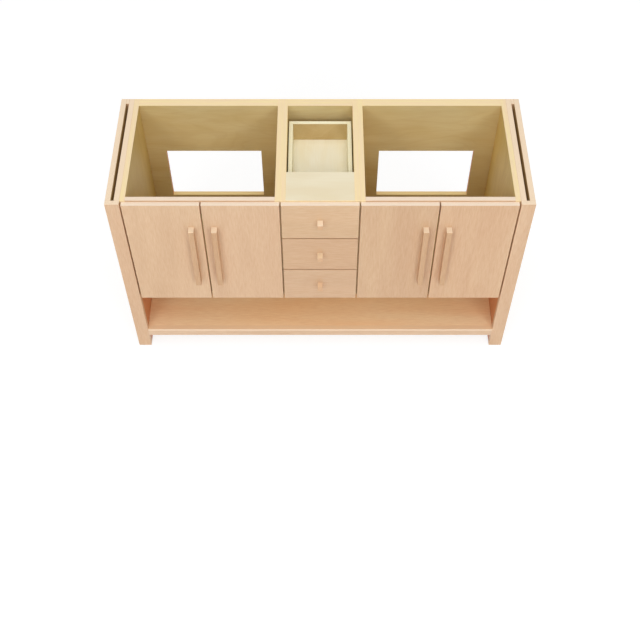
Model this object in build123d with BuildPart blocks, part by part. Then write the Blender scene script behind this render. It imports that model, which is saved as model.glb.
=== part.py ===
from build123d import *
import os

# Bathroom vanity cabinet: two slab ends that stand on the floor carry a pair of open-topped sink
# cabinets with a drawer cabinet between them, and an open shelf near the floor.
# X runs to the right, Y from the front to the back and Z up. The origin lies on the floor under the
# middle of the whole object, door pulls included. All sizes are in millimetres.

# Overall size
WIDTH = 1524.0
DEPTH = 546.0
HEIGHT = 876.0

# Slab ends: two skins with a slot between them, a front stile and a rear spacer
BOARD = 19.0
END_SKIN = 20.0
END_SLOT = 11.0
SPACER_DEPTH = 27.0
STILE_ROUND = 1.0
GLIDE_RADIUS = 10.0
GLIDE_THICKNESS = 3.0
GLIDE_INSET = 14.0

# Cabinets: plywood boxes between the ends
BAY_COLUMNS = 2
ALL_COLUMNS = 5
CASE_HEIGHT = 543.0
BOARD_EASE = 0.5
FRONT_RAIL_HEIGHT = 70.0
STRETCHER_DEPTH = 140.0
HANGING_RAIL_HEIGHT = 89.0
CUTOUT_WIDTH = 381.0
CUTOUT_HEIGHT = 256.0
CUTOUT_RISE = 48.0

# Shelf near the floor
SHELF_TOP = 118.0
SHELF_RAIL_HEIGHT = 42.0

# Doors and drawer fronts, which lie flush with the front of the ends
FRONT_THICKNESS = 18.0
FRONT_STANDOFF = 1.0
FRONT_GAP = 5.5
TOP_REVEAL = 6.0
FRONT_EASE = 0.5
HINGE_ROUND = 1.5
BUMPER_RADIUS = 4.5
BUMPER_CLEARANCE = 0.2
BUMPER_INSET = 20.0

# Pulls and knobs
PULL_WIDTH = 20.0
PULL_PROJECTION = 28.0
PULL_LENGTH = 308.0
PULL_INSET = 39.0
PULL_ROUND = 1.0
KNOB_WIDTH = 20.0

# Concealed hinges: a cup let into the door, a link on its pin, and an arm on the cabinet side
HINGE_INSET = 100.0
CUP_RADIUS = 17.5
CUP_EDGE = 5.0
CUP_DEPTH = 12.0
CUP_WALL = 1.2
CUP_CLEARANCE = 0.1
CUP_RIM = 1.5
CUP_FLANGE = 0.7
CUP_WING_WIDTH = 14.0
CUP_WING_LENGTH = 62.0
PIN_RADIUS = 1.5
PIN_CLEARANCE = 0.05
PIN_SINK = 1.5
LINK_EYE_RADIUS = 4.0
LINK_THICKNESS = 2.4
LINK_HEIGHT = 10.0
LINK_LENGTH = 60.0
LINK_CLEARANCE = 0.3
ARM_SHEET = 1.5
ARM_SETBACK = 3.0
ARM_LENGTH = 66.0
ARM_ROOM = 10.7
PLATE_THICKNESS = 2.0
PLATE_SETBACK = 26.0
PLATE_WING_SETBACK = 32.0
PLATE_WING_DEPTH = 12.0
PLATE_WING_LENGTH = 48.0

# Drawers and the runners under them
DRAWERS = ("bottom", "middle", "top")
BOX_BOARD = 15.0
BOX_SIDE_CLEARANCE = 4.2
BOX_HEIGHT = 107.0
BOX_REAR_GAP = 33.0
BOX_LIFT = 26.0
BOX_RECESS = 13.0
BOX_FLOOR = 12.0
RUNNER_SHEET = 1.5
RUNNER_REAR_GAP = 23.0
RUNNER_SETBACK = 2.0
RUNNER_FLANGE = 22.0
RUNNER_DROP = 1.0
RAIL_OFFSET = 4.5
RAIL_WIDTH = 14.0
SLIDE_REAR_GAP = 4.0
SLIDE_LIFT = 1.0
RUNNING_GAP = 0.4

# Planes that several pieces share
FRONT = (PULL_PROJECTION - DEPTH) / 2
REAR = FRONT + DEPTH
FRONT_BACK = FRONT + FRONT_THICKNESS
CASE_FRONT = FRONT_BACK + FRONT_STANDOFF
STILE_BACK = FRONT + BOARD
RAIL_FRONT = REAR - BOARD
BACK_FRONT = RAIL_FRONT - BOARD
CASE_BOTTOM = HEIGHT - CASE_HEIGHT
CASE_FLOOR = CASE_BOTTOM + BOARD
FRONT_TOP = HEIGHT - TOP_REVEAL
SHELF_UNDERSIDE = SHELF_TOP - SHELF_RAIL_HEIGHT
HALF = WIDTH / 2
INNER = HALF - 2 * END_SKIN - END_SLOT
COLUMN = 2 * INNER / ALL_COLUMNS
DRAWER_HALF = INNER - BAY_COLUMNS * COLUMN
BAY_CENTRE = (INNER + DRAWER_HALF) / 2
DRAWER_OPENING = DRAWER_HALF - BOARD


def board(low, high, ease=BOARD_EASE):
    """A straight board between two opposite corners, with a small arris on every edge."""
    with BuildPart() as piece:
        with BuildSketch(Plane.XY.offset(low[2])):
            with Locations(((low[0] + high[0]) / 2, (low[1] + high[1]) / 2)):
                Rectangle(high[0] - low[0], high[1] - low[1])
        extrude(amount=high[2] - low[2])
        chamfer(piece.edges(), ease)
    return piece.part


def facing(low, high, ease):
    """A board whose front face has rounded edges; its other edges stay square."""
    with BuildPart() as piece:
        with BuildSketch(Plane.XY.offset(low[2])):
            with Locations(((low[0] + high[0]) / 2, (low[1] + high[1]) / 2)):
                Rectangle(high[0] - low[0], high[1] - low[1])
        extrude(amount=high[2] - low[2])
        fillet(piece.faces().sort_by(Axis.Y)[0].edges(), ease)
    return piece.part


def save(label, *pieces):
    """Writes a named node: one piece, or a set of like pieces that stay separate solids."""
    node = pieces[0] if len(pieces) == 1 else Compound(children=list(pieces))
    node.label = label
    export_step(node, f"parts/{label}.step")


os.makedirs("parts", exist_ok=True)

# Slab ends
stiles = []
spacers = []
for side, name in ((-1, "left"), (1, "right")):
    outer = sorted((side * HALF, side * (HALF - END_SKIN)))
    inner = sorted((side * INNER, side * (INNER + END_SKIN)))
    slot = sorted((side * (INNER + END_SKIN), side * (HALF - END_SKIN)))
    whole = sorted((side * INNER, side * HALF))
    for skin, span in (("outer", outer), ("inner", inner)):
        panel = board((span[0], STILE_BACK, GLIDE_THICKNESS), (span[1], REAR, HEIGHT))
        save(f"{name}_end_{skin}_panel", panel)
    stiles.append(facing((whole[0], FRONT, GLIDE_THICKNESS), (whole[1], STILE_BACK, HEIGHT), STILE_ROUND))
    spacers.append(board((slot[0], REAR - SPACER_DEPTH, GLIDE_THICKNESS), (slot[1], REAR, HEIGHT)))
save("end_front_stiles", *stiles)
save("end_rear_spacers", *spacers)

# Nylon glides under the four corners
with BuildPart() as floor_glides:
    with BuildSketch():
        for side in (-1, 1):
            for depth in (FRONT + GLIDE_INSET, REAR - GLIDE_INSET):
                with Locations((side * (INNER + HALF) / 2, depth)):
                    Circle(GLIDE_RADIUS)
    extrude(amount=GLIDE_THICKNESS)
save("floor_glides", floor_glides.part)

# Sink cabinets: two sides, a bottom, a front rail and a back with a cut-out for the pipes
hanging_rails = []
for side, name in ((-1, "left"), (1, "right")):
    outer = sorted((side * INNER, side * (INNER - BOARD)))
    inner = sorted((side * DRAWER_HALF, side * (DRAWER_HALF + BOARD)))
    bay = sorted((side * (DRAWER_HALF + BOARD), side * (INNER - BOARD)))
    for wall, span in (("outer", outer), ("inner", inner)):
        panel = board((span[0], CASE_FRONT, CASE_BOTTOM), (span[1], REAR, HEIGHT))
        save(f"{name}_cabinet_{wall}_side", panel)
    bottom = board((bay[0], CASE_FRONT, CASE_BOTTOM), (bay[1], BACK_FRONT, CASE_FLOOR))
    save(f"{name}_cabinet_bottom", bottom)
    rail_low = (bay[0], CASE_FRONT, HEIGHT - FRONT_RAIL_HEIGHT)
    save(f"{name}_cabinet_front_rail", board(rail_low, (bay[1], CASE_FRONT + BOARD, HEIGHT)))
    with BuildPart() as back:
        with BuildSketch(Plane.XY.offset(CASE_BOTTOM)):
            with Locations((side * BAY_CENTRE, (BACK_FRONT + RAIL_FRONT) / 2)):
                Rectangle(bay[1] - bay[0], BOARD)
        extrude(amount=CASE_HEIGHT)
        chamfer(back.edges(), BOARD_EASE)
        with BuildSketch(Plane.XZ.offset(-RAIL_FRONT)):
            with Locations((side * BAY_CENTRE, CASE_BOTTOM + CUTOUT_RISE + CUTOUT_HEIGHT / 2)):
                Rectangle(CUTOUT_WIDTH, CUTOUT_HEIGHT)
        extrude(amount=BOARD, mode=Mode.SUBTRACT)
    save(f"{name}_cabinet_back", back.part)
    hanging_rails.append(
        board((bay[0], RAIL_FRONT, HEIGHT - HANGING_RAIL_HEIGHT), (bay[1], REAR, HEIGHT))
    )

# Drawer cabinet between them, with a flat stretcher across the top
for side, name in ((-1, "left"), (1, "right")):
    span = sorted((side * DRAWER_HALF, side * DRAWER_OPENING))
    panel = board((span[0], CASE_FRONT, CASE_BOTTOM), (span[1], REAR, HEIGHT))
    save(f"drawer_cabinet_{name}_side", panel)
bottom = board((-DRAWER_OPENING, CASE_FRONT, CASE_BOTTOM), (DRAWER_OPENING, BACK_FRONT, CASE_FLOOR))
save("drawer_cabinet_bottom", bottom)
back = board((-DRAWER_OPENING, BACK_FRONT, CASE_BOTTOM), (DRAWER_OPENING, RAIL_FRONT, HEIGHT))
save("drawer_cabinet_back", back)
stretcher_low = (-DRAWER_OPENING, CASE_FRONT, HEIGHT - BOARD)
stretcher_high = (DRAWER_OPENING, CASE_FRONT + STRETCHER_DEPTH, HEIGHT)
save("drawer_cabinet_stretcher", board(stretcher_low, stretcher_high))
rail_low = (-DRAWER_OPENING, RAIL_FRONT, HEIGHT - HANGING_RAIL_HEIGHT)
hanging_rails.append(board(rail_low, (DRAWER_OPENING, REAR, HEIGHT)))
save("rear_hanging_rails", *hanging_rails)

# Shelf between the ends, with a rail along its front and its back
shelf_low = (-INNER, STILE_BACK, SHELF_TOP - BOARD)
save("shelf_panel", board(shelf_low, (INNER, RAIL_FRONT, SHELF_TOP)))
front_low = (-INNER, FRONT, SHELF_UNDERSIDE)
save("shelf_front_rail", facing(front_low, (INNER, STILE_BACK, SHELF_TOP), STILE_ROUND))
rear_low = (-INNER, RAIL_FRONT, SHELF_UNDERSIDE)
save("shelf_rear_rail", board(rear_low, (INNER, REAR, SHELF_TOP)))

# Doors: the hinge edge turns about the centre of the rounding on its front corner.
# A pair of doors leaves a gap at the slab end, one in the middle and half of one beside the drawers.
BAY_WIDTH = BAY_COLUMNS * COLUMN
DOOR_WIDTH = BAY_WIDTH / 2 - FRONT_GAP * 5 / 4
DOOR_HEIGHT = FRONT_TOP - CASE_BOTTOM
CUP_CENTRE = CUP_EDGE + CUP_RADIUS
PIN_Y = FRONT_BACK - PIN_SINK
ARM_FACE = CUP_CENTRE + LINK_EYE_RADIUS + ARM_ROOM + ARM_SHEET
HINGE_HEIGHTS = (CASE_BOTTOM + HINGE_INSET, FRONT_TOP - HINGE_INSET)
# Each door: its name, the outer face of the cabinet side that carries it, the way it runs from there,
# and the gap beside its hinge edge
DOORS = (
    ("left_outer_door", -INNER, 1, FRONT_GAP),
    ("left_inner_door", -DRAWER_HALF, -1, FRONT_GAP / 2),
    ("right_inner_door", DRAWER_HALF, 1, FRONT_GAP / 2),
    ("right_outer_door", INNER, -1, FRONT_GAP),
)


def door_panel(hinge_x, way):
    """A flat door with a round pocket for each hinge cup in its back."""
    span = sorted((hinge_x, hinge_x + way * DOOR_WIDTH))
    with BuildPart() as door:
        with BuildSketch(Plane.XY.offset(CASE_BOTTOM)):
            with Locations(((span[0] + span[1]) / 2, (FRONT + FRONT_BACK) / 2)):
                Rectangle(DOOR_WIDTH, FRONT_THICKNESS)
        extrude(amount=DOOR_HEIGHT)
        edges = door.faces().sort_by(Axis.Y)[0].edges().sort_by(Axis.X, reverse=way < 0)
        fillet(edges[0], HINGE_ROUND)
        edges = door.faces().sort_by(Axis.Y)[0].edges().sort_by(Axis.X, reverse=way < 0)
        fillet(edges[1:], FRONT_EASE)
        with BuildSketch(Plane.XZ.offset(-FRONT_BACK)):
            with Locations(*[(hinge_x + way * CUP_CENTRE, height) for height in HINGE_HEIGHTS]):
                Circle(CUP_RADIUS + CUP_CLEARANCE)
        extrude(amount=CUP_DEPTH, mode=Mode.SUBTRACT)
    return door.part


def pull(hinge_x, way):
    """A solid square bar that lies flat on the door, upright beside its free edge."""
    middle = hinge_x + way * (DOOR_WIDTH - PULL_INSET)
    low = (CASE_BOTTOM + FRONT_TOP - PULL_LENGTH) / 2
    return facing(
        (middle - PULL_WIDTH / 2, FRONT - PULL_PROJECTION, low),
        (middle + PULL_WIDTH / 2, FRONT, low + PULL_LENGTH),
        PULL_ROUND,
    )


def hinge_cup(hinge_x, way, height):
    """A pressed cup with a winged flange on the door's back and a pin across its mouth."""
    centre = (hinge_x + way * CUP_CENTRE, height)
    with BuildPart() as cup:
        with BuildSketch(Plane.XZ.offset(-FRONT_BACK)):
            with Locations(centre):
                Circle(CUP_RADIUS)
        extrude(amount=CUP_DEPTH)
        with BuildSketch(Plane.XZ.offset(-FRONT_BACK - CUP_FLANGE)):
            with Locations(centre):
                Circle(CUP_RADIUS + CUP_RIM)
                SlotOverall(CUP_WING_LENGTH, CUP_WING_WIDTH, rotation=90)
        extrude(amount=CUP_FLANGE)
        with BuildSketch(Plane.XZ.offset(-FRONT_BACK - CUP_FLANGE)):
            with Locations(centre):
                Circle(CUP_RADIUS - CUP_WALL)
        extrude(amount=CUP_FLANGE + CUP_DEPTH - CUP_WALL, mode=Mode.SUBTRACT)
        with BuildSketch(Plane.XY.offset(height - CUP_RADIUS + CUP_WALL / 2)):
            with Locations((centre[0], PIN_Y)):
                Circle(PIN_RADIUS)
        extrude(amount=2 * CUP_RADIUS - CUP_WALL)
    return cup.part


def hinge_link(hinge_x, way, height):
    """A strap with an eye on the cup's pin; its tail lies between the cheeks of the arm."""
    pin_x = hinge_x + way * CUP_CENTRE
    strap_x = pin_x + way * (LINK_EYE_RADIUS - LINK_THICKNESS / 2)
    with BuildPart() as link:
        with BuildSketch(Plane.XY.offset(height - LINK_HEIGHT / 2)):
            with Locations((pin_x, PIN_Y)):
                Circle(LINK_EYE_RADIUS)
            with Locations((strap_x, PIN_Y + LINK_LENGTH / 2)):
                Rectangle(LINK_THICKNESS, LINK_LENGTH)
            with Locations((pin_x, PIN_Y)):
                Circle(PIN_RADIUS + PIN_CLEARANCE, mode=Mode.SUBTRACT)
        extrude(amount=LINK_HEIGHT)
    return link.part


def hinge_arm(hinge_x, wall_x, way, height):
    """A channel open at its front, on a winged plate on the cabinet side."""
    cheek = LINK_HEIGHT / 2 + LINK_CLEARANCE
    front = CASE_FRONT + ARM_SETBACK
    plate = CASE_FRONT + PLATE_SETBACK
    wing = CASE_FRONT + PLATE_WING_SETBACK
    back = wall_x + way * PLATE_THICKNESS
    face = hinge_x + way * ARM_FACE
    middle = (back + face) / 2
    with BuildPart() as arm:
        with BuildSketch(Plane.XZ.offset(-front)):
            with Locations((middle, height)):
                Rectangle(abs(face - back), 2 * (cheek + ARM_SHEET))
            with Locations((middle - way * ARM_SHEET, height)):
                Rectangle(abs(face - back), 2 * cheek, mode=Mode.SUBTRACT)
        extrude(amount=-ARM_LENGTH)
        with BuildSketch(Plane.YZ.offset(wall_x)):
            with Locations(((plate + front + ARM_LENGTH) / 2, height)):
                Rectangle(front + ARM_LENGTH - plate, 2 * (cheek + ARM_SHEET))
            with Locations((wing + PLATE_WING_DEPTH / 2, height)):
                Rectangle(PLATE_WING_DEPTH, PLATE_WING_LENGTH)
        extrude(amount=way * PLATE_THICKNESS)
    return arm.part


arms = []
for name, side_x, way, gap in DOORS:
    hinge_x = side_x + way * gap
    wall_x = side_x + way * BOARD
    save(f"{name}_panel", door_panel(hinge_x, way))
    save(f"{name}_pull", pull(hinge_x, way))
    save(f"{name}_hinge_cups", *[hinge_cup(hinge_x, way, height) for height in HINGE_HEIGHTS])
    save(f"{name}_hinge_links", *[hinge_link(hinge_x, way, height) for height in HINGE_HEIGHTS])
    arms += [hinge_arm(hinge_x, wall_x, way, height) for height in HINGE_HEIGHTS]
save("hinge_arms", *arms)

# Drawers: a plywood box behind each front, on a pair of runners under its floor
DRAWER_FRONT_HALF = DRAWER_HALF - FRONT_GAP / 2
DRAWER_PITCH = (DOOR_HEIGHT + FRONT_GAP) / len(DRAWERS)
BOX_HALF = DRAWER_OPENING - BOX_SIDE_CLEARANCE
BOX_INNER = BOX_HALF - BOX_BOARD
BOX_REAR = BACK_FRONT - BOX_REAR_GAP
RAIL_OUTER = BOX_INNER - RAIL_OFFSET
RAIL_INNER = RAIL_OUTER - RAIL_WIDTH
RAIL_TOP = BOX_RECESS - RUNNER_SHEET - RUNNING_GAP
RUNNER_FRONT = FRONT_BACK + BOX_BOARD + RUNNER_SETBACK
RUNNER_LENGTH = BACK_FRONT - RUNNER_REAR_GAP - RUNNER_FRONT
SLIDE_LENGTH = BOX_REAR - SLIDE_REAR_GAP - RUNNER_FRONT


def runner(side, level):
    """A folded steel runner: a flange on the cabinet side, a foot under the box and a raised rail."""
    foot = level - RUNNER_DROP - RUNNER_SHEET
    outline = (
        (DRAWER_OPENING, foot),
        (DRAWER_OPENING, level + RUNNER_FLANGE),
        (DRAWER_OPENING - RUNNER_SHEET, level + RUNNER_FLANGE),
        (DRAWER_OPENING - RUNNER_SHEET, foot + RUNNER_SHEET),
        (RAIL_OUTER, foot + RUNNER_SHEET),
        (RAIL_OUTER, level + RAIL_TOP),
        (RAIL_INNER, level + RAIL_TOP),
        (RAIL_INNER, foot),
        (RAIL_INNER + RUNNER_SHEET, foot),
        (RAIL_INNER + RUNNER_SHEET, level + RAIL_TOP - RUNNER_SHEET),
        (RAIL_OUTER - RUNNER_SHEET, level + RAIL_TOP - RUNNER_SHEET),
        (RAIL_OUTER - RUNNER_SHEET, foot),
    )
    with BuildPart() as piece:
        with BuildSketch(Plane.XZ.offset(-RUNNER_FRONT)):
            with BuildLine():
                Polyline(*[(side * x, z) for x, z in outline], close=True)
            make_face()
        extrude(amount=-RUNNER_LENGTH)
    return piece.part


def slide(side, level):
    """An upturned steel channel under the drawer floor, which rides on the runner's rail."""
    middle = side * (RAIL_OUTER + RAIL_INNER) / 2
    inside = RAIL_WIDTH + 2 * RUNNING_GAP
    low = level + SLIDE_LIFT
    high = level + BOX_RECESS
    with BuildPart() as piece:
        with BuildSketch(Plane.XZ.offset(-RUNNER_FRONT)):
            with Locations((middle, (low + high) / 2)):
                Rectangle(inside + 2 * RUNNER_SHEET, high - low)
            with Locations((middle, (low + high) / 2 - RUNNER_SHEET)):
                Rectangle(inside, high - low, mode=Mode.SUBTRACT)
        extrude(amount=-SLIDE_LENGTH)
    return piece.part


def knob(height):
    """A square peg that stands out of the middle of a drawer front."""
    return facing(
        (-KNOB_WIDTH / 2, FRONT - PULL_PROJECTION, height - KNOB_WIDTH / 2),
        (KNOB_WIDTH / 2, FRONT, height + KNOB_WIDTH / 2),
        PULL_ROUND,
    )


runners = []
drawer_bumpers = []
for place, name in enumerate(DRAWERS):
    front_low = CASE_BOTTOM + place * DRAWER_PITCH
    front_high = front_low + DRAWER_PITCH - FRONT_GAP
    level = front_low + BOX_LIFT
    floor = level + BOX_RECESS
    top = level + BOX_HEIGHT
    panel = facing(
        (-DRAWER_FRONT_HALF, FRONT, front_low),
        (DRAWER_FRONT_HALF, FRONT_BACK, front_high),
        FRONT_EASE,
    )
    save(f"{name}_drawer_front", panel)
    save(f"{name}_drawer_knob", knob((front_low + front_high) / 2))
    save(
        f"{name}_drawer_box",
        board((-BOX_HALF, FRONT_BACK, level), (-BOX_INNER, BOX_REAR, top)),
        board((BOX_INNER, FRONT_BACK, level), (BOX_HALF, BOX_REAR, top)),
        board((-BOX_INNER, FRONT_BACK, level), (BOX_INNER, FRONT_BACK + BOX_BOARD, top)),
        board((-BOX_INNER, BOX_REAR - BOX_BOARD, floor), (BOX_INNER, BOX_REAR, top)),
    )
    floor_low = (-BOX_INNER, FRONT_BACK + BOX_BOARD, floor)
    floor_high = (BOX_INNER, BOX_REAR - BOX_BOARD, floor + BOX_FLOOR)
    save(f"{name}_drawer_floor", board(floor_low, floor_high))
    save(f"{name}_drawer_slides", *[slide(side, level) for side in (-1, 1)])
    runners += [runner(side, level) for side in (-1, 1)]
    drawer_bumpers += [
        (side * (DRAWER_OPENING + BOARD / 2), front_high - BUMPER_INSET) for side in (-1, 1)
    ]
save("drawer_runners", *runners)

# Soft bumpers on the cabinet fronts, where doors and drawer fronts come to rest
door_bumpers = [
    (bay * BAY_CENTRE + side * BUMPER_INSET, height)
    for bay in (-1, 1)
    for side in (-1, 1)
    for height in (CASE_BOTTOM + BOARD / 2, FRONT_TOP - BUMPER_INSET)
]
with BuildPart() as front_bumpers:
    with BuildSketch(Plane.XZ.offset(-CASE_FRONT)):
        with Locations(*door_bumpers, *drawer_bumpers):
            Circle(BUMPER_RADIUS)
    extrude(amount=FRONT_STANDOFF - BUMPER_CLEARANCE)
save("front_bumpers", front_bumpers.part)
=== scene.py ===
import math
import bpy
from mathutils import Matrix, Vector


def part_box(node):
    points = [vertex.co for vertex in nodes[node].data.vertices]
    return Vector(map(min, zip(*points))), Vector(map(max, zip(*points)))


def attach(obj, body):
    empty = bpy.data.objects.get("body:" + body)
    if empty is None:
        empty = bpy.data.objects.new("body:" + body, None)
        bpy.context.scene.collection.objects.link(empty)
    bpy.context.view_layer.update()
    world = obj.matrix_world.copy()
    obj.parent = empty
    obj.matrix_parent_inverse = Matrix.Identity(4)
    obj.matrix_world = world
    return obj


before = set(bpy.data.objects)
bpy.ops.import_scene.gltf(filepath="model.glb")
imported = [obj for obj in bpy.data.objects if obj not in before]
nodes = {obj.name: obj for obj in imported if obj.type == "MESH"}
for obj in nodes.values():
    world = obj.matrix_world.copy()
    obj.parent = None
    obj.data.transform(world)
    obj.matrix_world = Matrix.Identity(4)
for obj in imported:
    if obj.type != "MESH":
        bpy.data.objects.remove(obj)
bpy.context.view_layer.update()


# Slab ends: two skins with an open slot between them, glued to a stile in front and a spacer behind.
# Maple veneer, sliced so that the figure is straight and quiet, laid upright and lacquered matt;
# the inner skins' broad faces are painted shade, darker and warmer as light bounced between the wood
# makes them, and the board that shows inside the slot is bare. Faces that look up carry a painted highlight.
ACROSS, INWARD, UPRIGHT = 0, 1, 2
COLOUR_MIX = {"data_type": "RGBA"}
COLOUR_STAIN = {"data_type": "RGBA", "blend_type": "MULTIPLY"}
FLECK_STAIN, PORE_STAIN, RAY_STAIN = "#F2E6DA", "#F2E9E0", "#EBD9CA"
TOP_PORES = "#E6CBAC"
END_TOP_HIGHLIGHT = "#F8E0C2"
INNER_SKIN_SHADE = "#EFB793"
BARE_BOARD = ("#D6B982", "#CDAC75")
FACES_UP = {"From Min": 0.75, "From Max": 0.9}
FACES_OUT = {"From Min": 0.8, "From Max": 0.9}
GRAIN_RELIEF = {"Strength": 0.12, "Distance": 0.0002}
LACQUER_GLOSS = {"To Min": 0.44, "To Max": 0.56}
LACQUER_IOR = 1.47
SEED_STEPS = (7.31, 3.17, 5.93)
SEEDS_EACH = 5
FACE_MARGIN = 0.0002


def srgb(colour):
    """A colour written as sRGB hex, as the linear colour that a shader takes."""
    parts = [int(colour[i:i + 2], 16) / 255 for i in (1, 3, 5)]
    return [*(c / 12.92 if c <= 0.04045 else ((c + 0.055) / 1.055) ** 2.4 for c in parts), 1.0]


def node(tree, kind, settings=None, inputs=None):
    """Adds a node, gives it its settings, and sets or links its inputs."""
    made = tree.nodes.new(kind)
    for key, value in (settings or {}).items():
        setattr(made, key, value)
    for key, value in (inputs or {}).items():
        if isinstance(value, bpy.types.Node):
            value = next(socket for socket in value.outputs if socket.enabled)
        if isinstance(value, bpy.types.NodeSocket):
            tree.links.new(value, made.inputs[key])
        else:
            made.inputs[key].default_value = value
    return made


def blank_material(name):
    """A new material with only a shader and an output."""
    material = bpy.data.materials.new(name)
    material.use_nodes = True
    tree = material.node_tree
    tree.nodes.clear()
    shader = node(tree, "ShaderNodeBsdfPrincipled")
    node(tree, "ShaderNodeOutputMaterial", inputs={"Surface": shader})
    return material, tree, shader


def axes(tree, kind):
    """The parts across, inward and upright of a point's place (Object) or of the way it looks (Normal)."""
    coords = node(tree, "ShaderNodeTexCoord")
    return node(tree, "ShaderNodeSeparateXYZ", inputs={"Vector": coords.outputs[kind]}).outputs


def fibres(tree, grain, seed, across_mm, along_mm, low=0.35, high=0.65, most=1.0, distortion=0.0):
    """Noise drawn out along the grain, in streaks of the given width and length, from 0 to most."""
    scale = [1000 / across_mm] * 3
    scale[grain] = 1000 / along_mm
    coords = node(tree, "ShaderNodeTexCoord")
    drawn = node(tree, "ShaderNodeMapping", inputs={
        "Vector": coords.outputs["Object"], "Scale": scale, "Location": [step * seed for step in SEED_STEPS]})
    noise = node(tree, "ShaderNodeTexNoise", inputs={
        "Vector": drawn, "Scale": 1.0, "Detail": 2.0, "Distortion": distortion})
    return node(tree, "ShaderNodeMapRange", inputs={
        "Value": noise, "From Min": low, "From Max": high, "To Max": most})


def coat(material, share, colour, settings=COLOUR_MIX):
    """Lays a colour over what a finish has so far, or stains it, as far as share says."""
    tree = material.node_tree
    base = tree.nodes["Principled BSDF"].inputs["Base Color"]
    mixed = node(tree, "ShaderNodeMix", settings, {
        "Factor": share, "A": base.links[0].from_socket, "B": colour})
    tree.links.new(mixed.outputs["Result"], base)


def maple_veneer(name, grain, seed, pale="#EACAA8", deep="#E0BC99", upper=None):
    """Sliced maple under matt lacquer: short fine flecks in slow pale and rosy bands.

    The colour upper is laid on faces that look up. On most pieces it is a painted highlight, paler than the
    veneer, where light from above falls on a top edge or on the top of a bar or peg; on the shelf rails it is
    the shelf's sheet, which runs over them.
    """
    material, tree, shader = blank_material(name)
    bands = fibres(tree, grain, seed, across_mm=90, along_mm=700, low=0.3, high=0.7, distortion=0.3)
    flecks = fibres(tree, grain, seed + 1, across_mm=4, along_mm=40, low=0.3, high=0.7, most=0.6)
    # real pores are under 1 mm wide; they are drawn three times as coarse to show at a step's distance
    pores = fibres(tree, grain, seed + 2, across_mm=2.6, along_mm=60, most=0.3)
    rays = fibres(tree, grain, seed + 3, across_mm=1.3, along_mm=7, low=0.62, high=0.8, most=0.6)
    wood = node(tree, "ShaderNodeMix", COLOUR_MIX, {"Factor": bands, "A": srgb(pale), "B": srgb(deep)})
    tree.links.new(wood.outputs["Result"], shader.inputs["Base Color"])
    for share, stain in ((flecks, FLECK_STAIN), (pores, PORE_STAIN), (rays, RAY_STAIN)):
        coat(material, share, srgb(stain), COLOUR_STAIN)
    # painted highlight: faces that look up take the paler colour upper, with pores over it
    if upper:
        up = node(tree, "ShaderNodeMapRange", inputs={"Value": axes(tree, "Normal")[UPRIGHT], **FACES_UP})
        top_colour = node(tree, "ShaderNodeMix", COLOUR_MIX, {
            "Factor": pores, "A": srgb(upper), "B": srgb(TOP_PORES)})
        coat(material, up, top_colour)
    gloss = node(tree, "ShaderNodeMapRange", inputs={"Value": pores, **LACQUER_GLOSS})
    relief = node(tree, "ShaderNodeBump", inputs={**GRAIN_RELIEF, "Height": pores})
    tree.links.new(gloss.outputs["Result"], shader.inputs["Roughness"])
    tree.links.new(relief.outputs["Normal"], shader.inputs["Normal"])
    shader.inputs["IOR"].default_value = LACQUER_IOR
    return material


def dress(material, *names):
    """Gives CAD pieces a finish."""
    for name in names:
        for place in nodes[name].material_slots:
            place.material = material


SKINS = ("left_end_outer_panel", "left_end_inner_panel", "right_end_outer_panel", "right_end_inner_panel")
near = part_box("right_end_inner_panel")[1].x
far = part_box("right_end_outer_panel")[0].x
for order, panel in enumerate(SKINS):
    seed = 1 + SEEDS_EACH * order
    veneer = maple_veneer(f"maple_{panel}", UPRIGHT, seed, upper=END_TOP_HIGHLIGHT)
    tree = veneer.node_tree
    # painted shade: the broad faces of the inner skins are darkened and warmed, as bounced light would make
    # them
    if "inner" in panel:
        looks = node(tree, "ShaderNodeMath", {"operation": "ABSOLUTE"}, {0: axes(tree, "Normal")[ACROSS]})
        broad = node(tree, "ShaderNodeMapRange", inputs={"Value": looks, **FACES_OUT})
        coat(veneer, broad, srgb(INNER_SKIN_SHADE), COLOUR_STAIN)
    out = node(tree, "ShaderNodeMath", {"operation": "ABSOLUTE"}, {0: axes(tree, "Object")[ACROSS]})
    bare = node(tree, "ShaderNodeMath", {"operation": "COMPARE"}, {
        0: out, 1: (near + far) / 2, 2: (far - near) / 2 + FACE_MARGIN})
    chips = fibres(tree, UPRIGHT, seed + 4, across_mm=6, along_mm=24)
    core = node(tree, "ShaderNodeMix", COLOUR_MIX, {
        "Factor": chips, "A": srgb(BARE_BOARD[0]), "B": srgb(BARE_BOARD[1])})
    coat(veneer, bare, core)
    dress(veneer, panel)
dress(maple_veneer("maple_stiles", UPRIGHT, seed=1156, upper=END_TOP_HIGHLIGHT), "end_front_stiles")
dress(maple_veneer("maple_spacers", UPRIGHT, seed=261, upper=END_TOP_HIGHLIGHT), "end_rear_spacers")


# Cabinet boxes: boards butted and screwed together, with rails across the front of the open sink bays.
# Birch plywood: a rotary-cut sheet on each face, and on each cut edge the plies, pale and dark in turn.
# Their floors are darkened on top with painted shade, where doors and rails shade them; the front rails are
# veneered like the doors before them, with a painted highlight on their tops.
PLY_MM = 2.1
PLY_BLUR = 0.3
PLY_SHARE = 0.5
LOOP_TURNS = 60.0
LOOP_FROM = 0.3
LOOP_SHARE = 0.08
BOARD_ROUGHNESS = 0.55
LIT_SILL = "#FFE3A2"
SHADED_JAMB = "#D68A3C"


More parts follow.
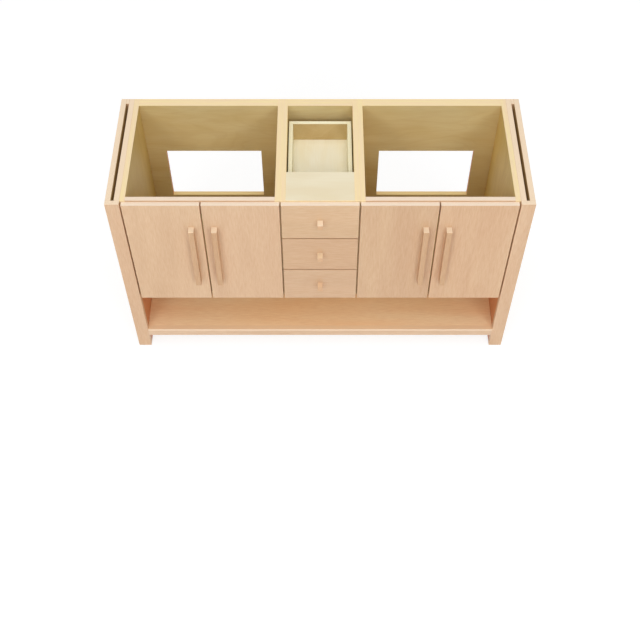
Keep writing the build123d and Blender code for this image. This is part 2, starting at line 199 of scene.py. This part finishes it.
def birch_plywood(name, through, grain, seed, face, edge, figure,
                  sides_from=None, sawn_below=None, topside=None):
    """Birch plywood: a sheet whose figure wanders in loops and long points, and plies on the cut edges.

    Boards that stand further than sides_from from the middle have their thickness across instead.
    Edges below the height sawn_below are those of a cut-out, painted as lit and shaded: the edges that face
    up or down pale as painted light from above, the jambs dark orange as painted shade.
    The colour topside is painted shade, which darkens the upper face.
    """
    material, tree, shader = blank_material(name)
    sheet = fibres(tree, grain, seed, across_mm=150, along_mm=620, low=0.0, high=1.0, distortion=0.6)
    wave = node(tree, "ShaderNodeMath", {"operation": "MULTIPLY"}, {0: sheet, 1: LOOP_TURNS})
    wave = node(tree, "ShaderNodeMath", {"operation": "SINE"}, {0: wave})
    loops = node(tree, "ShaderNodeMapRange", inputs={
        "Value": wave, "From Min": LOOP_FROM, "To Max": LOOP_SHARE})
    clouds = fibres(tree, grain, seed + 1, across_mm=60, along_mm=260)
    pores = fibres(tree, grain, seed + 2, across_mm=2.2, along_mm=60, most=0.22)
    wood = node(tree, "ShaderNodeMix", COLOUR_MIX, {"Factor": clouds, "A": srgb(face[0]), "B": srgb(face[1])})
    tree.links.new(wood.outputs["Result"], shader.inputs["Base Color"])
    for share, colour in ((loops, figure[0]), (pores, figure[1])):
        coat(material, share, srgb(colour))
    place, normal = axes(tree, "Object"), axes(tree, "Normal")
    # painted shade darkens the faces that look up
    if topside is not None:
        up = node(tree, "ShaderNodeMath", {"operation": "GREATER_THAN"}, {
            0: normal[UPRIGHT], 1: FACES_OUT["From Max"]})
        coat(material, up, srgb(topside), COLOUR_STAIN)
    depth, looks = place[through], normal[through]
    if sides_from is not None:
        out = node(tree, "ShaderNodeMath", {"operation": "ABSOLUTE"}, {0: place[ACROSS]})
        side = node(tree, "ShaderNodeMath", {"operation": "GREATER_THAN"}, {0: out, 1: sides_from})
        depth = node(tree, "ShaderNodeMix", inputs={"Factor": side, "A": depth, "B": place[ACROSS]})
        looks = node(tree, "ShaderNodeMix", inputs={"Factor": side, "A": looks, "B": normal[ACROSS]})
    turns = node(tree, "ShaderNodeMath", {"operation": "MULTIPLY"}, {0: depth, 1: 1000 * math.pi / PLY_MM})
    ply = node(tree, "ShaderNodeMath", {"operation": "SINE"}, {0: turns})
    plies = node(tree, "ShaderNodeMapRange", inputs={
        "Value": ply, "From Min": -PLY_BLUR, "From Max": PLY_BLUR, "To Max": PLY_SHARE})
    # glue lines let the colour of each ply drift along the edge
    along = INWARD if through != INWARD else ACROSS
    drift = fibres(tree, along, seed + 3, across_mm=7, along_mm=260)
    layers = node(tree, "ShaderNodeMix", COLOUR_MIX, {
        "Factor": drift, "A": srgb(edge[0]), "B": srgb(edge[1])})
    layers = node(tree, "ShaderNodeMix", COLOUR_MIX, {"Factor": plies, "A": layers, "B": srgb(edge[2])})
    # painted light and shade on the cut-out's edges: a pale lit sill and head, dark shaded jambs
    if sawn_below is not None:
        low = node(tree, "ShaderNodeMath", {"operation": "LESS_THAN"}, {0: place[UPRIGHT], 1: sawn_below})
        jamb = node(tree, "ShaderNodeMath", {"operation": "ABSOLUTE"}, {0: normal[ACROSS]})
        sawn = node(tree, "ShaderNodeMix", COLOUR_MIX, {
            "Factor": jamb, "A": srgb(LIT_SILL), "B": srgb(SHADED_JAMB)})
        layers = node(tree, "ShaderNodeMix", COLOUR_MIX, {"Factor": low, "A": layers, "B": sawn})
    size = node(tree, "ShaderNodeMath", {"operation": "ABSOLUTE"}, {0: looks})
    cut = node(tree, "ShaderNodeMapRange", inputs={"Value": size, **FACES_OUT, "To Min": 1.0, "To Max": 0.0})
    coat(material, cut, layers)
    relief = node(tree, "ShaderNodeBump", inputs={**GRAIN_RELIEF, "Height": pores})
    tree.links.new(relief.outputs["Normal"], shader.inputs["Normal"])
    shader.inputs["Roughness"].default_value = BOARD_ROUGHNESS
    shader.inputs["IOR"].default_value = LACQUER_IOR
    return material


CABINET_FACE = ("#DCCA96", "#D5BF87")
# painted light: side boards yellower than the faces, the right and drawer cabinets' lighter than the left's
LEFT_WALLS_LIT = ("#E5C97E", "#E1C477")
RIGHT_WALLS_LIT = ("#F0D384", "#EBCD7E")
CABINET_EDGE = ("#FCE8B5", "#FAE1BC", "#F0D39A")
CABINET_FIGURE = ("#B98A4E", "#CDAE78")
BAY_BACK = ("#E4D099", "#DDC58A")
# painted shade for the tops of the cabinet floors
FLOOR_PAINTED_SHADE = "#C3BCAE"
BOARD_SEED, STRETCHER_SEED = 21, 991
boards = [(f"{side}_cabinet_{board}", through, grain)
          for side in ("left", "right")
          for board, through, grain in (("outer_side", ACROSS, UPRIGHT), ("inner_side", ACROSS, UPRIGHT),
                                        ("bottom", UPRIGHT, ACROSS), ("back", INWARD, ACROSS))]
boards += [("drawer_cabinet_left_side", ACROSS, UPRIGHT), ("drawer_cabinet_right_side", ACROSS, UPRIGHT),
           ("drawer_cabinet_bottom", UPRIGHT, ACROSS), ("drawer_cabinet_back", INWARD, ACROSS),
           ("rear_hanging_rails", INWARD, ACROSS)]
rail_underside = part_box("rear_hanging_rails")[0].z
for order, (board, through, grain) in enumerate(boards):
    sheet, topside, sawn = CABINET_FACE, None, None
    # side boards take the painted-light sheets
    if through == ACROSS:
        sheet = LEFT_WALLS_LIT if board.startswith("left") else RIGHT_WALLS_LIT
    elif board in ("left_cabinet_back", "right_cabinet_back"):
        sheet, sawn = BAY_BACK, rail_underside
    elif through == UPRIGHT:
        topside = FLOOR_PAINTED_SHADE
    dress(birch_plywood(f"birch_{board}", through, grain, BOARD_SEED + SEEDS_EACH * order, sheet,
                        CABINET_EDGE, CABINET_FIGURE, sawn_below=sawn, topside=topside), board)
STRETCHER_FACE = ("#F1E6C9", "#ECDEBD")
PALE_FIGURE = ("#E6D3A6", "#EBDDB9")
dress(birch_plywood("birch_stretcher", UPRIGHT, ACROSS, STRETCHER_SEED, STRETCHER_FACE, CABINET_EDGE,
                    PALE_FIGURE), "drawer_cabinet_stretcher")
# painted highlight on the top faces of the front rails, doors and top drawer front, where light from above
# falls
TOP_HIGHLIGHT = "#F6E2CC"
for seed, side in ((96, "left"), (101, "right")):
    dress(maple_veneer(f"maple_{side}_rail", ACROSS, seed, upper=TOP_HIGHLIGHT), f"{side}_cabinet_front_rail")


# Shelf: one veneered board between the ends, with a rail glued over its front and its back edge.
# Maple veneer with the grain along the shelf, in a sheet painted paler and warmer than the upright leaves,
# which runs over the rails: painted light, for the light and warm bounce under the cabinet. A paler band
# along the top of each rail is a painted highlight, where its edge catches the light.
# seed of the figure, pale and deep colour
SHELF_LIT_SHEET = (1306, "#FEDEB6", "#FAD0A2")
SHELF_RAIL = (411, "#EDD0B2", "#E2C2A2")
RAIL_TOP = "#F2CAA1"
RAIL_EDGE_HIGHLIGHT = "#F3D6B7"
RAIL_HIGHLIGHT_HEIGHT = 0.012
dress(maple_veneer("maple_shelf", ACROSS, *SHELF_LIT_SHEET), "shelf_panel")
veneer = maple_veneer("maple_shelf_rails", ACROSS, *SHELF_RAIL, upper=RAIL_TOP)
tree = veneer.node_tree
# painted highlight: a pale band along the top of each rail
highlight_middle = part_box("shelf_front_rail")[1].z - RAIL_HIGHLIGHT_HEIGHT / 2
edge_highlight = node(tree, "ShaderNodeMath", {"operation": "COMPARE"}, {
    0: axes(tree, "Object")[UPRIGHT], 1: highlight_middle, 2: RAIL_HIGHLIGHT_HEIGHT / 2 - FACE_MARGIN})
coat(veneer, edge_highlight, srgb(RAIL_EDGE_HIGHLIGHT))
dress(veneer, "shelf_front_rail", "shelf_rear_rail")


# Doors: flat boards faced with maple veneer, each with a leaf of its own and the grain upright;
# their top edges carry a painted highlight. Their pulls are solid square bars of maple, screwed on flat
# from behind the door; the pale upper colour on each bar's top end is a painted highlight.
DOORS = ("left_outer_door", "left_inner_door", "right_inner_door", "right_outer_door")
# seed of the figure, pale and deep colour of each leaf
DOOR_LEAVES = ((1921, "#E9C9A6", "#DEBB97"), (126, "#E8C8A6", "#DEBA97"),
               (731, "#E0BF9B", "#D7B28F"), (436, "#E5C39F", "#DCB591"))
PULL_SEED = 141
# painted highlight: upper is the lit top end of each pull
PULL_WOOD = {"pale": "#D8B38D", "deep": "#CFA67E", "upper": "#ECD7BB"}
for order, (door, leaf) in enumerate(zip(DOORS, DOOR_LEAVES)):
    dress(maple_veneer(f"maple_{door}", UPRIGHT, *leaf, upper=TOP_HIGHLIGHT), f"{door}_panel")
    dress(maple_veneer(f"maple_{door}_pull", UPRIGHT, PULL_SEED + SEEDS_EACH * order, **PULL_WOOD),
          f"{door}_pull")


# Drawers: a veneered front with a square maple peg, screwed to a box of thin birch plywood.
# The box's cut edges are paler than the cabinet's. Its floor is painted near white and its other boards
# darker,
# though they are one plywood: painted light on the floor, where light falls in from above, and painted shade
# on the boards that wall the box. The floor is let in between its boards.
DRAWERS = ("top_drawer", "middle_drawer", "bottom_drawer")
DRAWER_LEAVES = ((161, "#E2C19C", "#DCBB96"), (766, "#DEBB97", "#D8B491"), (471, "#DFBD9B", "#D9B795"))
KNOB_WOOD = {"pale": "#E7C29C", "deep": "#DEB58E"}
# painted highlight on each knob's top: brightest on the top drawer and dimmer lower down, as the light falls
KNOB_TOP_HIGHLIGHTS = ("#F2DEC2", "#E8CEAA", "#E3C09B")
# painted shade on the box's boards and, below, painted light on its floor: one plywood
BOX_SHADED_FACE = ("#C4A870", "#BC9D64")
DRAWER_FLOOR_LIT = ("#F8F2DC", "#F4EBCE")
BOX_EDGE = ("#FBF9DE", "#F9F4D4", "#F1E6BC")
KNOB_SEED, BOX_SEED, FLOOR_SEED = 181, 201, 221
for order, (drawer, leaf, top) in enumerate(zip(DRAWERS, DRAWER_LEAVES, KNOB_TOP_HIGHLIGHTS)):
    step = SEEDS_EACH * order
    # painted highlight on the top drawer's top edge only; the lower fronts' top edges lie in shaded gaps
    top_colour = TOP_HIGHLIGHT if drawer == DRAWERS[0] else None
    dress(maple_veneer(f"maple_{drawer}", ACROSS, *leaf, upper=top_colour), f"{drawer}_front")
    # the knob's upper colour is its painted highlight
    dress(maple_veneer(f"maple_{drawer}_knob", INWARD, KNOB_SEED + step, upper=top, **KNOB_WOOD),
          f"{drawer}_knob")
    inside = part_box(f"{drawer}_floor")[1].x
    dress(birch_plywood(f"birch_{drawer}_box", INWARD, INWARD, BOX_SEED + step, BOX_SHADED_FACE, BOX_EDGE,
                        PALE_FIGURE, sides_from=inside), f"{drawer}_box")
    dress(birch_plywood(f"birch_{drawer}_floor", UPRIGHT, INWARD, FLOOR_SEED + step, DRAWER_FLOOR_LIT, BOX_EDGE,
                        PALE_FIGURE), f"{drawer}_floor")


# Hinges and runners: pressed steel, plated with bright nickel.
# Rolled sheet keeps fine drawn lines, which the plating softens to a satin gloss; they are drawn
# coarser than they are, or they would not show.
NICKEL = ("#D2CFC8", "#BDB9B1")
NICKEL_GLOSS = {"To Min": 0.24, "To Max": 0.38}
nickel, tree, shader = blank_material("nickel_plated_steel")
rolled = fibres(tree, INWARD, seed=241, across_mm=0.8, along_mm=30)
shade = node(tree, "ShaderNodeMix", COLOUR_MIX, {
    "Factor": rolled, "A": srgb(NICKEL[0]), "B": srgb(NICKEL[1])})
gloss = node(tree, "ShaderNodeMapRange", inputs={"Value": rolled, **NICKEL_GLOSS})
tree.links.new(shade.outputs["Result"], shader.inputs["Base Color"])
tree.links.new(gloss.outputs["Result"], shader.inputs["Roughness"])
shader.inputs["Metallic"].default_value = 1.0
dress(nickel, *[name for name in nodes if "hinge_" in name or "runners" in name or "slides" in name])


# Screws: cold-headed steel with a cross recess, plated like the hinges and runners that they hold.
# Each plate, cup and runner has its pair or row; pulls, knobs and drawer fronts are held from behind.
HEAD_RADIUS = 0.0038
HEAD_HEIGHT = 0.0016
RECESS_WIDTH = 0.0011
RECESS_DEPTH = 0.0009
HEAD_SIDES = 24
# the head's top and the recess's length, both against the head's radius
TOP_SHARE = 0.78
RECESS_SHARE = 1.1
screw_tree = bpy.data.node_groups.new("screw_heads", "GeometryNodeTree")
screw_tree.interface.new_socket("Places", in_out="INPUT", socket_type="NodeSocketGeometry")
screw_inputs = {
    label: screw_tree.interface.new_socket(label, in_out="INPUT", socket_type="NodeSocketFloat").identifier
    for label in ("Head Radius", "Head Height", "Recess Width", "Recess Depth")}
screw_tree.interface.new_socket("Screws", in_out="OUTPUT", socket_type="NodeSocketGeometry")
given = node(screw_tree, "NodeGroupInput").outputs
rim = node(screw_tree, "ShaderNodeMath", {"operation": "MULTIPLY"}, {0: given["Head Radius"], 1: TOP_SHARE})
head = node(screw_tree, "GeometryNodeMeshCone", inputs={
    "Vertices": HEAD_SIDES, "Radius Top": rim, "Radius Bottom": given["Head Radius"],
    "Depth": given["Head Height"]})
# the two bars that cut the recess are centred on the head's top, so half of each stands clear
deep = node(screw_tree, "ShaderNodeMath", {"operation": "MULTIPLY"}, {0: given["Recess Depth"], 1: 2.0})
long = node(screw_tree, "ShaderNodeMath", {"operation": "MULTIPLY"}, {
    0: given["Head Radius"], 1: RECESS_SHARE})
lift = node(screw_tree, "ShaderNodeCombineXYZ", inputs={UPRIGHT: given["Head Height"]})
cross = node(screw_tree, "GeometryNodeMeshBoolean", {"operation": "DIFFERENCE"}, {"Mesh 1": head})
for across, inward in ((long, given["Recess Width"]), (given["Recess Width"], long)):
    size = node(screw_tree, "ShaderNodeCombineXYZ", inputs={ACROSS: across, INWARD: inward, UPRIGHT: deep})
    bar = node(screw_tree, "GeometryNodeMeshCube", inputs={"Size": size})
    cut = node(screw_tree, "GeometryNodeTransform", inputs={"Geometry": bar, "Translation": lift})
    screw_tree.links.new(cut.outputs["Geometry"], cross.inputs["Mesh 2"])
aim = node(screw_tree, "GeometryNodeInputNamedAttribute", {"data_type": "FLOAT_VECTOR"}, {"Name": "aim"})
gauge = node(screw_tree, "GeometryNodeInputNamedAttribute", {"data_type": "FLOAT"}, {"Name": "gauge"})
turn = node(screw_tree, "FunctionNodeAlignRotationToVector", {"axis": "Z"}, {"Vector": aim})
placed = node(screw_tree, "GeometryNodeInstanceOnPoints", inputs={
    "Points": given["Places"], "Instance": cross, "Rotation": turn, "Scale": gauge})
whole = node(screw_tree, "GeometryNodeRealizeInstances", inputs={"Geometry": placed})
plated = node(screw_tree, "GeometryNodeSetMaterial", inputs={"Geometry": whole, "Material": nickel})
node(screw_tree, "NodeGroupOutput", inputs={"Screws": plated})


def screws(name, body, places):
    """Screw heads at the given places, each with the way it looks and its size against the usual one."""
    mesh = bpy.data.meshes.new(name)
    mesh.from_pydata([place for place, _, _ in places], [], [])
    ways = mesh.attributes.new("aim", "FLOAT_VECTOR", "POINT")
    ways.data.foreach_set("vector", [value for _, way, _ in places for value in way])
    sizes = mesh.attributes.new("gauge", "FLOAT", "POINT")
    sizes.data.foreach_set("value", [size for _, _, size in places])
    piece = bpy.data.objects.new(name, mesh)
    bpy.context.collection.objects.link(piece)
    maker = piece.modifiers.new("screw_heads", "NODES")
    maker.node_group = screw_tree
    for label, value in (("Head Radius", HEAD_RADIUS), ("Head Height", HEAD_HEIGHT),
                         ("Recess Width", RECESS_WIDTH), ("Recess Depth", RECESS_DEPTH)):
        maker[screw_inputs[label]] = value
    made = piece.evaluated_get(bpy.context.evaluated_depsgraph_get())
    solid = bpy.data.meshes.new_from_object(made)
    piece.modifiers.clear()
    piece.data = solid
    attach(piece, body)


CUP_SCREW_RISE = 0.025
PLATE_THICKNESS = 0.002
PLATE_SCREW_SETBACK = 0.0375
PLATE_SCREW_RISE = 0.018
ARM_FACE_REACH = 0.0162
ARM_SCREW_SETBACKS = (0.014, 0.056)
PULL_SCREW_RISE = 0.096
STRAP_HALF_HEIGHT = 0.005
CUP_GAUGE, PLATE_GAUGE, ARM_GAUGE, PULL_GAUGE = 0.85, 1.0, 0.95, 1.3
LEFT, RIGHT, BACK = (-1, 0, 0), (1, 0, 0), (0, 1, 0)
held_by_cabinet = []
for door, wall in zip(DOORS, ("left_cabinet_outer_side", "left_cabinet_inner_side",
                              "right_cabinet_inner_side", "right_cabinet_outer_side")):
    cups, links, bar, panel = (
        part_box(f"{door}_{piece}") for piece in ("hinge_cups", "hinge_links", "pull", "panel"))
    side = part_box(wall)
    middle = (cups[0].x + cups[1].x) / 2
    centre = (cups[0].z + cups[1].z) / 2
    spread = (links[1].z - links[0].z) / 2 - STRAP_HALF_HEIGHT
    way = RIGHT if middle > (side[0].x + side[1].x) / 2 else LEFT
    face = side[1].x if way == RIGHT else side[0].x
    on_door = []
    for height in (centre - spread, centre + spread):
        for rise in (-1, 1):
            on_door.append(((middle, cups[1].y, height + rise * CUP_SCREW_RISE), BACK, CUP_GAUGE))
            held_by_cabinet.append(((face + way[0] * PLATE_THICKNESS, side[0].y + PLATE_SCREW_SETBACK,
                                     height + rise * PLATE_SCREW_RISE), way, PLATE_GAUGE))
        for setback in ARM_SCREW_SETBACKS:
            held_by_cabinet.append(((middle + way[0] * ARM_FACE_REACH, side[0].y + setback, height),
                                    way, ARM_GAUGE))
    for rise in (-1, 1):
        on_door.append((((bar[0].x + bar[1].x) / 2, panel[1].y,
                         (bar[0].z + bar[1].z) / 2 + rise * PULL_SCREW_RISE), BACK, PULL_GAUGE))
    screws(f"{door}_screws", door, on_door)

FRONT_SCREW_REACH = 0.075
RUNNER_SCREW_RISE = 0.012
RUNNER_SCREW_SHARES = (0.1, 0.5, 0.9)
RUNNER_SHEET = 0.0015
FRONT_GAUGE, RUNNER_GAUGE = 1.3, 0.95
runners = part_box("drawer_runners")
for drawer in DRAWERS:
    knob, floor, box = (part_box(f"{drawer}_{piece}") for piece in ("knob", "floor", "box"))
    height = (knob[0].z + knob[1].z) / 2
    screws(f"{drawer}_screws", drawer, [((reach, floor[0].y, height), BACK, FRONT_GAUGE)
                                        for reach in (-FRONT_SCREW_REACH, 0, FRONT_SCREW_REACH)])
    for side, way in ((runners[0].x, RIGHT), (runners[1].x, LEFT)):
        for share in RUNNER_SCREW_SHARES:
            held_by_cabinet.append(((side + way[0] * RUNNER_SHEET,
                                     runners[0].y + share * (runners[1].y - runners[0].y),
                                     box[0].z + RUNNER_SCREW_RISE), way, RUNNER_GAUGE))
screws("cabinet_screws", "cabinet", held_by_cabinet)


# Glides and bumpers: moulded nylon discs under the ends, soft clear pads on the cabinet fronts.
# Both have a fine matt skin from the mould, whose grit is drawn coarser than it is, so that it shows;
# the glides are nailed on and the pads are stuck on.
NYLON = ("#D8D3C6", "#C9C3B4")
CLEAR = ("#F2F0EA", "#E6E2D8")
nylon, tree, shader = blank_material("moulded_nylon")
grit = fibres(tree, UPRIGHT, seed=251, across_mm=1.0, along_mm=1.0)
shade = node(tree, "ShaderNodeMix", COLOUR_MIX, {"Factor": grit, "A": srgb(NYLON[0]), "B": srgb(NYLON[1])})
tree.links.new(shade.outputs["Result"], shader.inputs["Base Color"])
shader.inputs["Roughness"].default_value = 0.5
shader.inputs["IOR"].default_value = 1.53
dress(nylon, "floor_glides")
clear, tree, shader = blank_material("clear_polyurethane")
haze = fibres(tree, INWARD, seed=256, across_mm=1.5, along_mm=1.5)
shade = node(tree, "ShaderNodeMix", COLOUR_MIX, {"Factor": haze, "A": srgb(CLEAR[0]), "B": srgb(CLEAR[1])})
tree.links.new(shade.outputs["Result"], shader.inputs["Base Color"])
shader.inputs["Roughness"].default_value = 0.3
shader.inputs["IOR"].default_value = 1.49
shader.inputs["Transmission Weight"].default_value = 0.7
dress(clear, "front_bumpers")


# Studio: a plain white floor, an even white dome, soft lamps all round, and the camera.
# The floor is matt white card; it keeps the cabinet's shadow, but shows it lighter than it falls.
WHITE = "#FFFFFF"
FLOOR_SIZE = 30.0
FLOOR_WHITE = 1.14
SHOWN_SHADOW = 0.3


def seen_rays(tree):
    """1 for rays by which the camera sees a thing, straight, mirrored or through a clear piece."""
    path = node(tree, "ShaderNodeLightPath").outputs
    seen = node(tree, "ShaderNodeMath", {"operation": "MAXIMUM"}, {
        0: path["Is Camera Ray"], 1: path["Is Glossy Ray"]})
    return node(tree, "ShaderNodeMath", {"operation": "MAXIMUM"}, {0: seen, 1: path["Is Transmission Ray"]})


bpy.ops.mesh.primitive_plane_add(size=FLOOR_SIZE, location=(0, 0, 0))
floor = bpy.context.object
floor.name = "studio_floor"
card, tree, shader = blank_material("white_card")
shader.inputs["Base Color"].default_value = srgb(WHITE)
shader.inputs["Roughness"].default_value = 0.9
shader.inputs["Specular IOR Level"].default_value = 0.0
share = node(tree, "ShaderNodeMath", {"operation": "MULTIPLY"}, {0: seen_rays(tree), 1: 1 - SHOWN_SHADOW})
white = node(tree, "ShaderNodeEmission", inputs={"Strength": FLOOR_WHITE})
lit = node(tree, "ShaderNodeMixShader", inputs={0: share, 1: shader, 2: white})
tree.links.new(lit.outputs[0], tree.nodes["Material Output"].inputs["Surface"])
floor.data.materials.append(card)

DOME = 0.28
world = bpy.data.worlds.new("studio_dome")
bpy.context.scene.world = world
world.use_nodes = True
tree = world.node_tree
tree.nodes.clear()
strength = node(tree, "ShaderNodeMix", inputs={"Factor": seen_rays(tree), "A": DOME, "B": 1.0})
dome = node(tree, "ShaderNodeBackground", inputs={"Color": srgb(WHITE), "Strength": strength})
node(tree, "ShaderNodeOutputWorld", inputs={"Surface": dome})

LAMP_AIM = Vector((0.0, 0.0, 0.5))
# name, place, watts and size of each lamp
LAMPS = (("high_lamp", (0.0, -3.8, 6.6), 128.0, 4.5),
         ("left_lamp", (-3.6, -6.2, 4.6), 122.0, 2.4),
         ("right_lamp", (3.6, -6.2, 4.6), 122.0, 2.4),
         ("top_lamp", (0.0, 0.0, 7.8), 150.0, 4.5),
         ("rear_lamp", (0.0, 7.2, 3.9), 25.0, 2.4))
for name, place, watts, size in LAMPS:
    lamp = bpy.data.objects.new(name, bpy.data.lights.new(name, "AREA"))
    bpy.context.collection.objects.link(lamp)
    lamp.data.size = size
    lamp.data.energy = watts
    lamp.location = place
    lamp.rotation_euler = (LAMP_AIM - lamp.location).to_track_quat("-Z", "Y").to_euler()
    lamp.visible_camera = False
    lamp.visible_glossy = False

CAMERA_PLACE = (-0.0006, -2.6820, 3.5333)
CAMERA_TILT = math.radians(35.872)
LENS_MM = 57.04
SENSOR_MM = 36.0
camera = bpy.data.objects.new("camera", bpy.data.cameras.new("camera"))
bpy.context.collection.objects.link(camera)
camera.location = CAMERA_PLACE
camera.rotation_euler = (CAMERA_TILT, 0, 0)
camera.data.sensor_width = SENSOR_MM
camera.data.lens = LENS_MM
bpy.context.scene.camera = camera
bpy.context.scene.view_settings.view_transform = "Standard"
